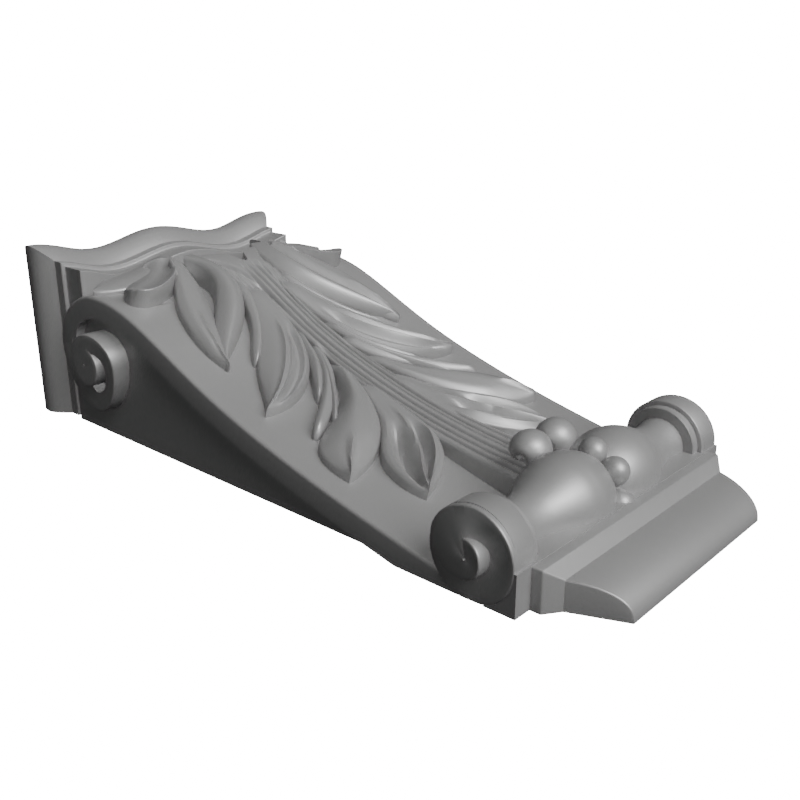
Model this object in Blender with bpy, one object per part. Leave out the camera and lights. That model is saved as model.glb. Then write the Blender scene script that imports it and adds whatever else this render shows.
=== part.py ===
"""A carved corbel: a scrolled bracket that hangs on a wall and carries a shelf on its top.

The bracket is carved from one block.  It stands as it is used: +Z is up, its flat back lies
against a wall at Y = 0, and its carved front faces -Y.  X runs across it.  Lengths below are
in millimetres and become metres in place().  A point is named by its drop below the top of
the side panels, its distance across from the middle, and its distance out from the wall.
"""

from math import cos, exp, hypot, pi, radians, sin

import bmesh
import bpy
from mathutils import Vector

MM = 0.001

# Whole body
PANEL_TOP = 139.9  # height of the side panels' top edge above the origin
BODY_LENGTH = 278.0
PANEL_HALF = 70.9
SCROLL_HALF = 75.7
BAND_DEPTH = 11.0
CORE_START = 0.1  # share of the front's run that the top scroll takes before the core begins
BURIED = 20.0  # how far the raw solids run behind the wall plane before the back is sawn flat

# Crown moulding, fillet and frieze at the top
CROWN_TOP = -29.1
FRIEZE_FOOT = 9.0
FRIEZE_HALF = 67.4
FRIEZE_OUT = 76.0
WAVE_RISE = 3.2
WAVE_LENGTH = 78.0
FILLET_FOOT = -5.0
# Section above the frieze: (drop, how far it stands proud of the frieze)
CROWN_SECTION = (
    (FILLET_FOOT, 2.0), (-11.0, 2.0), (-15.0, 5.7), (-18.5, 8.0), (-22.5, 8.9), (-26.0, 8.5), (CROWN_TOP, 7.4),
)

# Base plate and ogee foot
FOOT_START = 250.5
PLATE_HALF = 67.1
PLATE_OUT = 17.2
PLATE_SUNK = 0.2
PLATE_END = 282.6
OGEE_START = 287.2
OGEE_END = 308.9
OGEE_OUT = 12.4
OGEE_FULL, OGEE_FALL = 2.1, 0.4
OGEE_HALF = 60.3
OGEE_TIP_HALF = 50.8

# Roll that lies across the bottom
ROLL_DROP = 258.5
ROLL_OUT = 17.8
BULB_ACROSS = 18.0
BULB_RADIUS = 18.9
BULB_HALF_LENGTH = 23.7
NECK_RADIUS = 10.3
NECK_FLARE = 1.3
NECK_FILLET = 2.2
NECK_START = 42.0
STEP_RADIUS = 16.4
STEP_INNER = 58.7
DISC_RADIUS = 18.4
DISC_INNER = 62.6
DISC_PROUD = 0.3
BEAD_RADIUS = 5.9
BEAD_CIRCLE = 15.0
BEAD_ANGLES = (7.0, 52.0, 97.0)
ROLL_EMBED = 4.0  # how far the roll and its steps run into the discs

# Two egg shapes make each rolled leaf end above the roll: (drop, across, out), radii along the
# same and lean in degrees
CURL_PLACE, CURL_RADII, CURL_LEAN = (236.9, 9.0, 31.1), (8.6, 8.8, 9.6), 30.0
CURL_NECK_PLACE, CURL_NECK_RADII, CURL_NECK_LEAN = (244.0, 9.0, 20.0), (8.0, 7.5, 14.0), -20.0

# Side scrolls.  Angles are in degrees from straight down the bracket, turning outward from the wall.
# Each run of a radius or a face level is a row of (angle, value).
SCROLL_ROOT = PANEL_HALF - 6.0
TOP_SCROLL = (27.2, 37.5)
TOP_EYE_RADIUS = 9.6
TOP_OUTER_TURN = ((-210, 28.5), (-180, 28.0), (-135, 25.0), (-90, 24.0), (-45, 22.2), (0, 21.3), (45, 19.6))
TOP_SLOT = ((-210, 8.0), (-125, 8.5), (-90, 14.0), (-40, 15.8), (0, 15.4), (30, 12.4), (45, 9.0))
TOP_INNER_TURN = ((20, 20.6), (45, 19.6), (90, 17.0), (135, 13.9), (180, 10.0), (200, 9.6))
TOP_INNER_HOLE = ((20, 12.6), (45, 8.2), (90, 6.0), (200, 4.0))
TOP_LEVEL = ((-180, SCROLL_HALF), (-90, 77.1), (0, 78.8), (90, 80.9), (150, 81.4))
FOOT_SCROLL = (258.7, 16.1)
FOOT_TURN = (
    (100, 18.6), (130, 18.8), (160, 18.4), (180, 17.2), (205, 13.9), (225, 11.7),
    (245, 9.5), (280, 7.8), (330, 7.4), (400, 7.2), (440, 7.2),
)
FOOT_HOLE = ((100, 0.6), (440, 0.6))
FOOT_LEVEL = ((100, 76.2), (180, 78.2), (270, 79.8), (360, 80.3), (440, 78.6))

# Stem: runs of middle, half width and rise through even stops between two places on the front
STEM_SHORT = 12.0  # how far the stem stops short of the strap's end, under the roll
MIDDLE_RIB_START, SIDE_RIB_START = 30.0, 130.0
MIDDLE_RIB_HALF, MIDDLE_RIB_RISE = (9.0, 6.0, 5.7, 5.7, 7.5), (10.5, 7.6, 7.0, 7.0, 8.0)
SIDE_RIB_ACROSS = (6.6, 7.6, 9.0, 10.6)
SIDE_RIB_HALF, SIDE_RIB_RISE = (2.0, 3.0, 4.5, 7.5), (6.4, 6.7, 6.6, 6.6)
MOUND_START, MOUND_END = 18.0, 104.0
MOUND_HALF, MOUND_RISE = (37.0, 38.0, 30.0, 15.0, 12.0), (14.0, 12.8, 9.6, 6.6, 3.0)
RIB_ROUND = 1.4
ROOTED = 3.0  # how far the leaf's solids reach below the surface that they grow from

# Lobes of one half of the leaf.  root and tip are (run down the front, across).  The midrib leaves
# the root and meets the tip at a lean in degrees, with a pull.  outer and inner give each side's
# width: most, where along the lobe it is widest, share of it at the root, and how the tip narrows.
# crest and edge are heights at root, middle and tip.
LOBES = (
    dict(
        name="outer lobe", root=(52.5, 33.2), root_lean=21, root_pull=26.6, tip=(127.7, 56.6), tip_lean=3,
        tip_pull=22.5, outer=(7.3, 0.46, 0.27, 1.10), inner=(7.0, 0.17, 0.94, 0.55),
        crest=(11.5, 4.6, 2.6), edge=(10.5, 2.8, 2.0),
    ),
    dict(
        name="inner lobe", root=(52.3, 24.9), root_lean=-25, root_pull=37.7, tip=(126.9, 57.4), tip_lean=26,
        tip_pull=26.3, outer=(6.9, 0.50, 0.42, 1.20), inner=(7.3, 0.45, 0.95, 1.20),
        crest=(13.0, 9.0, 3.0), edge=(12.0, 5.5, 2.2),
    ),
    dict(
        name="small finger", root=(70.6, 12.3), root_lean=11, root_pull=31.0, tip=(129.2, 42.4), tip_lean=42,
        tip_pull=23.6, outer=(2.6, 0.80, 0.86, 0.57), inner=(2.0, 0.18, 0.57, 0.70),
        crest=(6.8, 5.4, 3.2), edge=(6.0, 4.0, 2.2),
    ),
    dict(
        name="second lobe", root=(71.2, 8.3), root_lean=6, root_pull=53.8, tip=(160.9, 63.0), tip_lean=70,
        tip_pull=28.8, outer=(13.6, 0.57, 0.31, 1.18), inner=(10.7, 0.55, 0.34, 0.60),
        crest=(6.6, 6.8, 3.6), edge=(5.6, 2.8, 2.0),
    ),
    dict(
        name="upper finger", root=(112.7, 8.9), root_lean=11, root_pull=31.8, tip=(163.1, 34.5), tip_lean=37,
        tip_pull=22.3, outer=(2.0, 0.50, 0.60, 0.64), inner=(2.0, 0.72, 0.71, 0.62),
        crest=(3.0, 6.2, 4.2), edge=(2.0, 4.4, 3.2),
    ),
    dict(
        name="lower finger", root=(126.4, 9.8), root_lean=7, root_pull=25.9, tip=(183.4, 54.4), tip_lean=54,
        tip_pull=23.3, outer=(2.3, 0.85, 0.63, 0.42), inner=(3.7, 0.35, 0.48, 0.40),
        crest=(4.0, 7.0, 4.8), edge=(3.0, 4.4, 3.2),
    ),
    dict(
        name="third lobe", root=(140.0, 7.5), root_lean=14, root_pull=47.0, tip=(213.9, 64.1), tip_lean=38,
        tip_pull=30.5, outer=(13.1, 0.72, 0.17, 1.25), inner=(11.9, 0.62, 0.20, 0.95),
        crest=(5.2, 8.2, 4.0), edge=(4.4, 3.4, 2.2),
    ),
    dict(
        name="last lobe", root=(154.4, 6.1), root_lean=9, root_pull=60.9, tip=(239.7, 46.3), tip_lean=27,
        tip_pull=21.6, outer=(14.4, 0.60, 0.27, 1.05), inner=(13.0, 0.47, 0.10, 0.95),
        crest=(5.2, 6.6, 3.8), edge=(4.4, 3.4, 2.2),
    ),
    dict(
        name="ear", root=(48.1, 35.0), root_lean=33, root_pull=6.0, tip=(68.4, 67.4), tip_lean=62,
        tip_pull=6.4, outer=(12.0, 0.30, 0.80, 0.60), inner=(10.8, 0.63, 0.81, 0.59),
        crest=(12.5, 11.0, 9.6), edge=(11.5, 10.0, 9.0),
    ),
    dict(
        name="side lobe", root=(50.0, 33.0), root_lean=150, root_pull=12.0, tip=(45.5, 73.8), tip_lean=80,
        tip_pull=14.0, outer=(5.5, 0.40, 0.80, 0.80), inner=(7.0, 0.40, 0.90, 0.80),
        crest=(12.6, 8.5, 2.6), edge=(10.5, 6.0, 2.0),
    ),
)

# How finely the solids are faceted
STRAP_STEPS = 32
STRAP_CROWDING = 1.25  # over 1, so that the stations crowd toward the tight curve at the top
CORE_STEPS = 24
WAVE_STEPS = 24
OGEE_STEPS = 7
ROLL_STEPS = 12
TURNED_SIDES = 26
DISC_SIDES = 32
BALL_ROWS, BALL_SIDES, BALL_CAP = 7, 10, 0.04
LOBE_ROWS, LOBE_COLUMNS, LOBE_CROWDING, LOBE_ROUND = 9, 4, 1.5, 2.2
RIB_STEPS, RIB_COLUMNS = 9, (-1.0, -0.6, 0.0, 0.6, 1.0)
EYE_SIDES = 18
SPIRAL_STEP = 14.0
ARRIS = 0.5
CRISP_ANGLE = 32.0

PRIMER_GREY = (0.22, 0.22, 0.22, 1.0)
PRIMER_ROUGHNESS = 0.5


def place(drop, across, out):
    return Vector((across * MM, -out * MM, (PANEL_TOP - drop) * MM))


def bezier(points, t):
    a, b, c, d = points
    u = 1.0 - t
    weights = (u * u * u, 3.0 * u * u * t, 3.0 * u * t * t, t * t * t)
    return tuple(sum(w * p[k] for w, p in zip(weights, (a, b, c, d))) for k in (0, 1))


def smooth(t):
    t = min(max(t, 0.0), 1.0)
    return t * t * (3.0 - 2.0 * t)


def mix(a, b, t):
    return a + (b - a) * t


def along(stops, t):
    """Value at t of a smooth run through evenly spaced stops."""
    spot = min(max(t, 0.0), 1.0) * (len(stops) - 1)
    k = min(int(spot), len(stops) - 2)
    return mix(stops[k], stops[k + 1], smooth(spot - k))


def between(stops, spot):
    """Value at a spot on the straight run between stops of (spot, value)."""
    if spot <= stops[0][0]:
        return stops[0][1]
    for (a, first), (b, second) in zip(stops, stops[1:]):
        if spot <= b:
            return mix(first, second, (spot - a) / (b - a))
    return stops[-1][1]


# The front is one S-curve seen from the side, in three spans of (drop, out)
FRONT_SPANS = (
    ((-2.2, 43.3), (-2.2, 57.2), (16.1, 70.65), (31.0, 70.65)),
    ((31.0, 70.65), (56.9, 70.65), (71.9, 60.5), (106.8, 45.2)),
    ((106.8, 45.2), (143.4, 29.3), (194.8, 16.3), (254.4, 5.1)),
)
SAMPLES = 80


def measure_front():
    spots = []
    for span in FRONT_SPANS:
        spots += [bezier(span, k / SAMPLES) for k in range(SAMPLES)]
    spots.append(FRONT_SPANS[-1][-1])
    runs = [0.0]
    for a, b in zip(spots, spots[1:]):
        runs.append(runs[-1] + hypot(b[0] - a[0], b[1] - a[1]))
    return spots, runs


FRONT_SPOTS, FRONT_RUNS = measure_front()
FRONT_LENGTH = FRONT_RUNS[-1]


def front_at(run):
    """Point and outward normal of the front curve, a given run down it from its top end."""
    low, high = 0, len(FRONT_RUNS) - 2
    while low < high:
        middle = (low + high + 1) // 2
        if FRONT_RUNS[middle] <= run:
            low = middle
        else:
            high = middle - 1
    a, b = FRONT_SPOTS[low], FRONT_SPOTS[low + 1]
    span = FRONT_RUNS[low + 1] - FRONT_RUNS[low]
    t = (run - FRONT_RUNS[low]) / span
    step = ((b[0] - a[0]) / span, (b[1] - a[1]) / span)
    return a[0] + step[0] * span * t, a[1] + step[1] * span * t, -step[1], step[0]


def on_front(run, across, rise):
    drop, out, tilt_drop, tilt_out = front_at(run)
    return place(drop + rise * tilt_drop, across, out + rise * tilt_out)


def solid(name, points, faces):
    mesh = bpy.data.meshes.new(name)
    mesh.from_pydata([tuple(p) for p in points], [], faces)
    work = bmesh.new()
    work.from_mesh(mesh)
    bmesh.ops.remove_doubles(work, verts=work.verts, dist=0.00001)
    bmesh.ops.triangulate(work, faces=work.faces)
    bmesh.ops.recalc_face_normals(work, faces=work.faces)
    work.to_mesh(mesh)
    work.free()
    made = bpy.data.objects.new(name, mesh)
    bpy.context.scene.collection.objects.link(made)
    return made


def loft(name, rings):
    """Skin over rings with equal numbers of points, with a cap on the first and the last."""
    count = len(rings[0])
    points = [p for ring in rings for p in ring]
    faces = []
    for a in range(0, len(points) - count, count):
        b = a + count
        for j in range(count):
            k = (j + 1) % count
            faces.append((a + j, a + k, b + k, b + j))
    faces.append(tuple(range(count)))
    faces.append(tuple(len(points) - 1 - j for j in range(count)))
    return solid(name, points, faces)


def combine(base, tools, how):
    """Join the tools to the base, or cut them from it, in one Boolean."""
    group = bpy.data.collections.new(how)
    for tool in tools:
        group.objects.link(tool)
    change = base.modifiers.new(how, "BOOLEAN")
    change.operation = how
    change.solver = "EXACT"
    change.operand_type = "COLLECTION"
    change.collection = group
    shape = base.evaluated_get(bpy.context.evaluated_depsgraph_get())
    result = bpy.data.meshes.new_from_object(shape)
    base.modifiers.clear()
    base.data = result
    for tool in tools:
        bpy.data.objects.remove(tool)
    bpy.data.collections.remove(group)


def band():
    """The S-shaped strap that runs the full width, from the top scroll down to the roll."""
    rings = []
    for k in range(STRAP_STEPS + 1):
        run = FRONT_LENGTH * (k / STRAP_STEPS) ** STRAP_CROWDING
        ring = [on_front(run, side * SCROLL_HALF, 0.0) for side in (-1, 1)]
        ring += [on_front(run, side * SCROLL_HALF, -BAND_DEPTH) for side in (1, -1)]
        rings.append(ring)
    return loft("strap", rings)


def core():
    """The body between the side panels, under the strap."""
    sunk = BAND_DEPTH / 2.0
    outline = [(0.0, -BURIED), (0.0, TOP_SCROLL[1])]
    for k in range(CORE_STEPS + 1):
        drop, out, tilt_drop, tilt_out = front_at(FRONT_LENGTH * mix(CORE_START, 1.0, k / CORE_STEPS))
        outline.append((drop - sunk * tilt_drop, out - sunk * tilt_out))
    outline += [(ROLL_DROP, -BURIED)]
    rings = [[place(d, side * PANEL_HALF, o) for d, o in outline] for side in (-1, 1)]
    return loft("core", rings)


def foot_block():
    """The square end of the body, which the roll is carved from."""
    outline = [(FOOT_START, -BURIED), (ROLL_DROP, PLATE_OUT)]
    outline += [(BODY_LENGTH, PLATE_OUT), (BODY_LENGTH, -BURIED)]
    rings = [[place(d, side * SCROLL_HALF, o) for d, o in outline] for side in (-1, 1)]
    return loft("foot", rings)


def wave(across):
    """How much further out the waved front stands at a distance from the middle."""
    return WAVE_RISE * cos(2.0 * pi * across / WAVE_LENGTH)


def crown():
    """Frieze, fillet and ovolo as one stack of plan outlines with a waved front."""
    rings = []
    for drop, proud in ((FRIEZE_FOOT, 0.0), (FILLET_FOOT, 0.0)) + CROWN_SECTION:
        half = FRIEZE_HALF + proud
        ring = [place(drop, -half, -BURIED)]
        for k in range(WAVE_STEPS + 1):
            across = mix(-half, half, k / WAVE_STEPS)
            ring.append(place(drop, across, FRIEZE_OUT + proud + wave(across)))
        ring.append(place(drop, half, -BURIED))
        rings.append(ring)
    return loft("crown", rings)


def base():
    """Plate, chamfer and ogee foot."""
    top = PLATE_OUT - PLATE_SUNK
    stack = [(ROLL_DROP, PLATE_HALF, top), (PLATE_END, PLATE_HALF, top)]
    for k in range(OGEE_STEPS + 1):
        t = sin(radians(90.0 * k / OGEE_STEPS))
        half = mix(OGEE_HALF, OGEE_TIP_HALF, t)
        out = OGEE_OUT * (1.0 - t**OGEE_FULL) ** OGEE_FALL
        stack.append((mix(OGEE_START, OGEE_END, t), half, out))
    rings = []
    for drop, half, out in stack:
        corners = ((-half, -BURIED), (-half, out), (half, out), (half, -BURIED))
        rings.append([place(drop, across, o) for across, o in corners])
    return loft("base", rings)


def roll_radius(across):
    across = abs(across)
    flat = (across - BULB_ACROSS) / BULB_HALF_LENGTH
    bulb = BULB_RADIUS * (1.0 - flat * flat) ** 0.5 if abs(flat) < 1.0 else 0.0
    neck = NECK_RADIUS + NECK_FLARE * smooth((across - NECK_START) / (STEP_INNER - NECK_START))
    fillet = 0.5 * NECK_FILLET * exp(-abs(bulb - neck) / NECK_FILLET)
    return max(bulb, neck) + fillet * smooth((across - BULB_ACROSS) / (NECK_START - BULB_ACROSS))


def lathe(name, stops, sides):
    """Turned solid on the roll's axis, through stops of (across, radius)."""
    rings = []
    for across, radius in stops:
        ring = []
        for k in range(sides):
            angle = 2.0 * pi * k / sides
            drop = ROLL_DROP + radius * sin(angle)
            ring.append(place(drop, across, ROLL_OUT + radius * cos(angle)))
        rings.append(ring)
    return loft(name, rings)


def roll():
    """Twin bulbs and necks between two discs, as turned work with its lower half buried."""
    reach = DISC_INNER + ROLL_EMBED
    spots = [reach * k / ROLL_STEPS for k in range(-ROLL_STEPS, ROLL_STEPS + 1)]
    pieces = [lathe("roll", [(across, roll_radius(across)) for across in spots], TURNED_SIDES)]
    face = SCROLL_HALF + DISC_PROUD
    for side in (-1, 1):
        pieces.append(lathe("step", [(side * a, STEP_RADIUS) for a in (STEP_INNER, reach)], DISC_SIDES))
        pieces.append(lathe("disc", [(side * a, DISC_RADIUS) for a in (DISC_INNER, face)], DISC_SIDES))
    return pieces


def ball(name, centre, radii, lean=0.0):
    """An egg shape; lean turns it in the plane of drop and out."""
    tilt = radians(lean)
    cap = BALL_CAP * pi
    rings = []
    for i in range(BALL_ROWS + 1):
        polar = mix(cap, pi - cap, i / BALL_ROWS)
        ring = []
        for j in range(BALL_SIDES):
            turn = 2.0 * pi * j / BALL_SIDES
            d = radii[0] * cos(polar)
            o = radii[2] * sin(polar) * sin(turn)
            drop = centre[0] + d * cos(tilt) - o * sin(tilt)
            out = centre[2] + d * sin(tilt) + o * cos(tilt)
            ring.append(place(drop, centre[1] + radii[1] * sin(polar) * cos(turn), out))
        rings.append(ring)
    return loft(name, rings)


def beads():
    pieces = []
    for angle in BEAD_ANGLES:
        turn = radians(angle)
        centre = (ROLL_DROP + BEAD_CIRCLE * sin(turn), 0.0, ROLL_OUT + BEAD_CIRCLE * cos(turn))
        pieces.append(ball("bead", centre, (BEAD_RADIUS,) * 3))
    return pieces


def half_width(t, most, belly, root, point):
    """Width of a leaf to one side of its midrib, from its root at t = 0 to its tip at 1."""
    swell = root + (1.0 - root) * smooth(t / belly)
    fall = min(max((t - belly) / (1.0 - belly), 0.0), 1.0)
    return most * swell * (1.0 - fall * fall) ** point


def lobe(side, name, root, root_lean, root_pull, tip, tip_lean, tip_pull, outer, inner, crest, edge):
    """One lobe of the acanthus, laid on the front to one side of the middle."""
    first = (root[0] + root_pull * cos(radians(root_lean)), root[1] + root_pull * sin(radians(root_lean)))
    last = (tip[0] - tip_pull * cos(radians(tip_lean)), tip[1] - tip_pull * sin(radians(tip_lean)))
    midrib = (root, first, last, tip)
    nudge = 0.01
    rings = []
    for i in range(LOBE_ROWS + 1):
        t = (1.0 - nudge) * (1.0 - (1.0 - i / LOBE_ROWS) ** LOBE_CROWDING)
        here = bezier(midrib, t)
        ahead = bezier(midrib, min(t + nudge, 1.0))
        behind = bezier(midrib, max(t - nudge, 0.0))
        length = hypot(ahead[0] - behind[0], ahead[1] - behind[1])
        way = ((ahead[0] - behind[0]) / length, (ahead[1] - behind[1]) / length)
        ring = []
        for j in range(LOBE_COLUMNS + 1):
            u = mix(1.0, -1.0, j / LOBE_COLUMNS)
            law = outer if u > 0.0 else inner
            offset = u * half_width(t, *law)
            run = here[0] - way[1] * offset
            across = here[1] + way[0] * offset
            rise = mix(along(crest, t), along(edge, t), abs(u) ** LOBE_ROUND)
            ring.append((run, across, rise))
        floor = [(ring[-1][0], ring[-1][1], -ROOTED), (ring[0][0], ring[0][1], -ROOTED)]
        rings.append([on_front(r, side * a, h) for r, a, h in ring + floor])
    return loft(name, rings)


def rib(name, middle, half, rise, start, end):
    """A rounded rib laid along the front, with its middle, half width and rise through even stops."""
    rings = []
    for k in range(RIB_STEPS + 1):
        t = k / RIB_STEPS
        run = mix(start, end, t)
        centre, width, top = along(middle, t), along(half, t), along(rise, t)
        ring = []
        for u in RIB_COLUMNS:
            ring.append(on_front(run, centre + u * width, top - RIB_ROUND * abs(u) ** LOBE_ROUND))
        ring += [on_front(run, centre + u * width, -ROOTED) for u in (1.0, -1.0)]
        rings.append(ring)
    return loft(name, rings)


def stem():
    """Middle rib with a rib each side, and the mound that they all rise from."""
    end = FRONT_LENGTH - STEM_SHORT
    level = (0.0, 0.0)
    pieces = [
        rib("middle rib", level, MIDDLE_RIB_HALF, MIDDLE_RIB_RISE, MIDDLE_RIB_START, end),
        rib("mound", level, MOUND_HALF, MOUND_RISE, MOUND_START, MOUND_END),
    ]
    for side in (-1, 1):
        middle = tuple(side * across for across in SIDE_RIB_ACROSS)
        pieces.append(rib("side rib", middle, SIDE_RIB_HALF, SIDE_RIB_RISE, SIDE_RIB_START, end))
    return pieces


def curls(side):
    """The rolled leaf ends that stand above the roll."""
    pieces = []
    for (drop, across, out), radii, lean in (
        (CURL_PLACE, CURL_RADII, CURL_LEAN),
        (CURL_NECK_PLACE, CURL_NECK_RADII, CURL_NECK_LEAN),
    ):
        pieces.append(ball("curl", (drop, side * across, out), radii, lean))
    return pieces


def spiral(name, side, centre, outer, inner, levels):
    """Part of a scroll: a strip between two radii that change with the angle, and so does its face."""
    first, last = outer[0][0], outer[-1][0]
    steps = round((last - first) / SPIRAL_STEP)
    rings = []
    for k in range(steps + 1):
        angle = mix(first, last, k / steps)
        far, near, level = (between(stops, angle) for stops in (outer, inner, levels))
        ring = []
        for radius, height in (
            (near, level),
            (far - ARRIS, level),
            (far, level - ARRIS),
            (far, SCROLL_ROOT),
            (near, SCROLL_ROOT),
        ):
            drop = centre[0] + radius * cos(radians(angle))
            ring.append(place(drop, side * height, centre[1] + radius * sin(radians(angle))))
        rings.append(ring)
    return loft(name, rings)


def scrolls(side):
    """Top scroll: outer turn, inner turn and eye.  Bottom scroll: the raised inner turn."""
    pieces = [
        spiral("outer turn", side, TOP_SCROLL, TOP_OUTER_TURN, TOP_SLOT, TOP_LEVEL),
        spiral("inner turn", side, TOP_SCROLL, TOP_INNER_TURN, TOP_INNER_HOLE, TOP_LEVEL),
        spiral("foot turn", side, FOOT_SCROLL, FOOT_TURN, FOOT_HOLE, FOOT_LEVEL),
    ]
    turns = [2.0 * pi * k / EYE_SIDES for k in range(EYE_SIDES)]
    rings = []
    for level in (SCROLL_ROOT, TOP_LEVEL[-1][1]):
        ring = []
        for turn in turns:
            out = TOP_SCROLL[1] + TOP_EYE_RADIUS * sin(turn)
            ring.append(place(TOP_SCROLL[0] + TOP_EYE_RADIUS * cos(turn), side * level, out))
        rings.append(ring)
    pieces.append(loft("eye", rings))
    return pieces


def saw_off_back(block):
    """Cut everything behind the wall plane, which leaves the flat back."""
    half = 1.5 * SCROLL_HALF
    high, low = CROWN_TOP - BURIED, OGEE_END + BURIED
    corners = ((-half, high), (half, high), (half, low), (-half, low))
    rings = [[place(drop, across, out) for across, drop in corners] for out in (-2.0 * BURIED, 0.0)]
    combine(block, [loft("saw", rings)], "DIFFERENCE")


def finish(block):
    """Grey primer, with edges sharper than the angle kept crisp."""
    paint = bpy.data.materials.new("grey primed wood")
    paint.use_nodes = True
    shader = paint.node_tree.nodes["Principled BSDF"]
    shader.inputs["Base Color"].default_value = PRIMER_GREY
    shader.inputs["Roughness"].default_value = PRIMER_ROUGHNESS
    block.data.materials.clear()
    block.data.materials.append(paint)
    block.data.shade_smooth()
    block.data.set_sharp_from_angle(angle=radians(CRISP_ANGLE))


for old in list(bpy.data.objects):
    bpy.data.objects.remove(old)

bracket = band()
bracket.name = "carved_bracket"
parts = [core(), foot_block(), crown(), base()] + roll() + beads() + stem()
for half in (-1, 1):
    parts += scrolls(half) + curls(half) + [lobe(half, **sizes) for sizes in LOBES]
combine(bracket, parts, "UNION")
saw_off_back(bracket)
finish(bracket)
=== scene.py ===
from math import cos, pi, radians, sin

import bmesh
import bpy
import numpy as np
from mathutils import Matrix, Vector


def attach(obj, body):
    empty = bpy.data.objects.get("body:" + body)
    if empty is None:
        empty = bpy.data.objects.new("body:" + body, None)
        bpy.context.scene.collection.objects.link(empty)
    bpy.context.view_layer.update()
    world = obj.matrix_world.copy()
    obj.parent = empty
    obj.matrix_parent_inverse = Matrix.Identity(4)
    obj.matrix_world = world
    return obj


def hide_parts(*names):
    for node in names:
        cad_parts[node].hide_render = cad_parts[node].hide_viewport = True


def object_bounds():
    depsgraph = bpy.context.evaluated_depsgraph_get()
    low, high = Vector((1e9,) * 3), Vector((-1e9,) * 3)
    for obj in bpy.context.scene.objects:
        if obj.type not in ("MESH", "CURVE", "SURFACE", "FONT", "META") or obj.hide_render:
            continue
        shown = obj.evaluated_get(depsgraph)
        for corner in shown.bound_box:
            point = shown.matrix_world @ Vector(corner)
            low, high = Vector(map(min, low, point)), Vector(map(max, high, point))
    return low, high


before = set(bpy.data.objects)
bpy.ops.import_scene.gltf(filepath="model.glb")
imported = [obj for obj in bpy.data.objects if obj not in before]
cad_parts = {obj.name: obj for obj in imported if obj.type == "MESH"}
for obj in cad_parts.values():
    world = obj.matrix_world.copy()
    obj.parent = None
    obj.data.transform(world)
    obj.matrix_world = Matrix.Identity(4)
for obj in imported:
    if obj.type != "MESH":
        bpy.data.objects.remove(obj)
cad_low, cad_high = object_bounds()

# Strap and core
# The front of the bracket is an S-shaped strap of wood, as wide as the side scrolls, which the leaf
# is carved on.  It is cut from one block with the core behind it, whose sides are the side panels.

# Sizes are in millimetres.  A drop is measured down from the top of the side panels, a run down
# along the strap's face, across from the middle to the side, and out from the wall.
MM = 0.001
CROWN_TOP = -29.1
PANEL_TOP = round(cad_high[2] / MM + CROWN_TOP, 1)
PANEL_HALF = 70.9
SCROLL_HALF = 75.7
STRAP_DEPTH = 11.0
STRAP_EDGE = ((0.0, 1.7), (0.15, 1.0), (0.5, 0.5), (1.0, 0.15), (1.7, 0.0))
COVERED_END = 16.0
COVERED_ROWS = 12
SEEN_START = 18.0
SEEN_ROWS = 150
TOP_SINK = 2.6
TOP_SINK_LENGTH = 15.0
FRONT_SPANS = (
    ((-2.2, 43.3), (-2.2, 57.2), (16.1, 70.65), (31.0, 70.65)),
    ((31.0, 70.65), (56.9, 70.65), (71.9, 60.5), (106.8, 45.2)),
    ((106.8, 45.2), (143.4, 29.3), (194.8, 16.3), (254.4, 5.1)),
)
SPAN_STEPS = 240
BURIED = 20.0
CORE_TOP_OUT = 37.5
CORE_START = 0.1
CORE_STEPS = 60
ROLL_DROP = 258.5
WELD = 0.000002


def place(drop, across, out):
    """A spot named by its drop, and how far across and out it is."""
    return (across * MM, -out * MM, (PANEL_TOP - drop) * MM)


def bezier(points, t):
    """Spots at t, from 0 to 1, on the curve that four points pull."""
    a, b, c, d = (np.array(p, float) for p in points)
    t = np.asarray(t, float)[..., None]
    u = 1.0 - t
    return a * u**3 + b * 3.0 * u * u * t + c * 3.0 * u * t * t + d * t**3


def smooth(t):
    t = np.clip(t, 0.0, 1.0)
    return t * t * (3.0 - 2.0 * t)


steps = np.linspace(0.0, 1.0, SPAN_STEPS, endpoint=False)
front = np.concatenate([bezier(span, steps) for span in FRONT_SPANS])
front = np.vstack([front, FRONT_SPANS[-1][-1]])
front_run = np.concatenate([[0.0], np.cumsum(np.hypot(*np.diff(front, axis=0).T))])
front_way = np.gradient(front, front_run, axis=0)
front_length = front_run[-1]


def on_front(run, across, rise):
    """Spots that stand a rise above the strap's face."""
    drop, out = (np.interp(run, front_run, front[:, k]) for k in (0, 1))
    way_drop, way_out = (np.interp(run, front_run, front_way[:, k]) for k in (0, 1))
    spots = place(drop - rise * way_out, across, out + rise * way_drop)
    return np.stack(np.broadcast_arrays(*spots), axis=-1)


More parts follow.
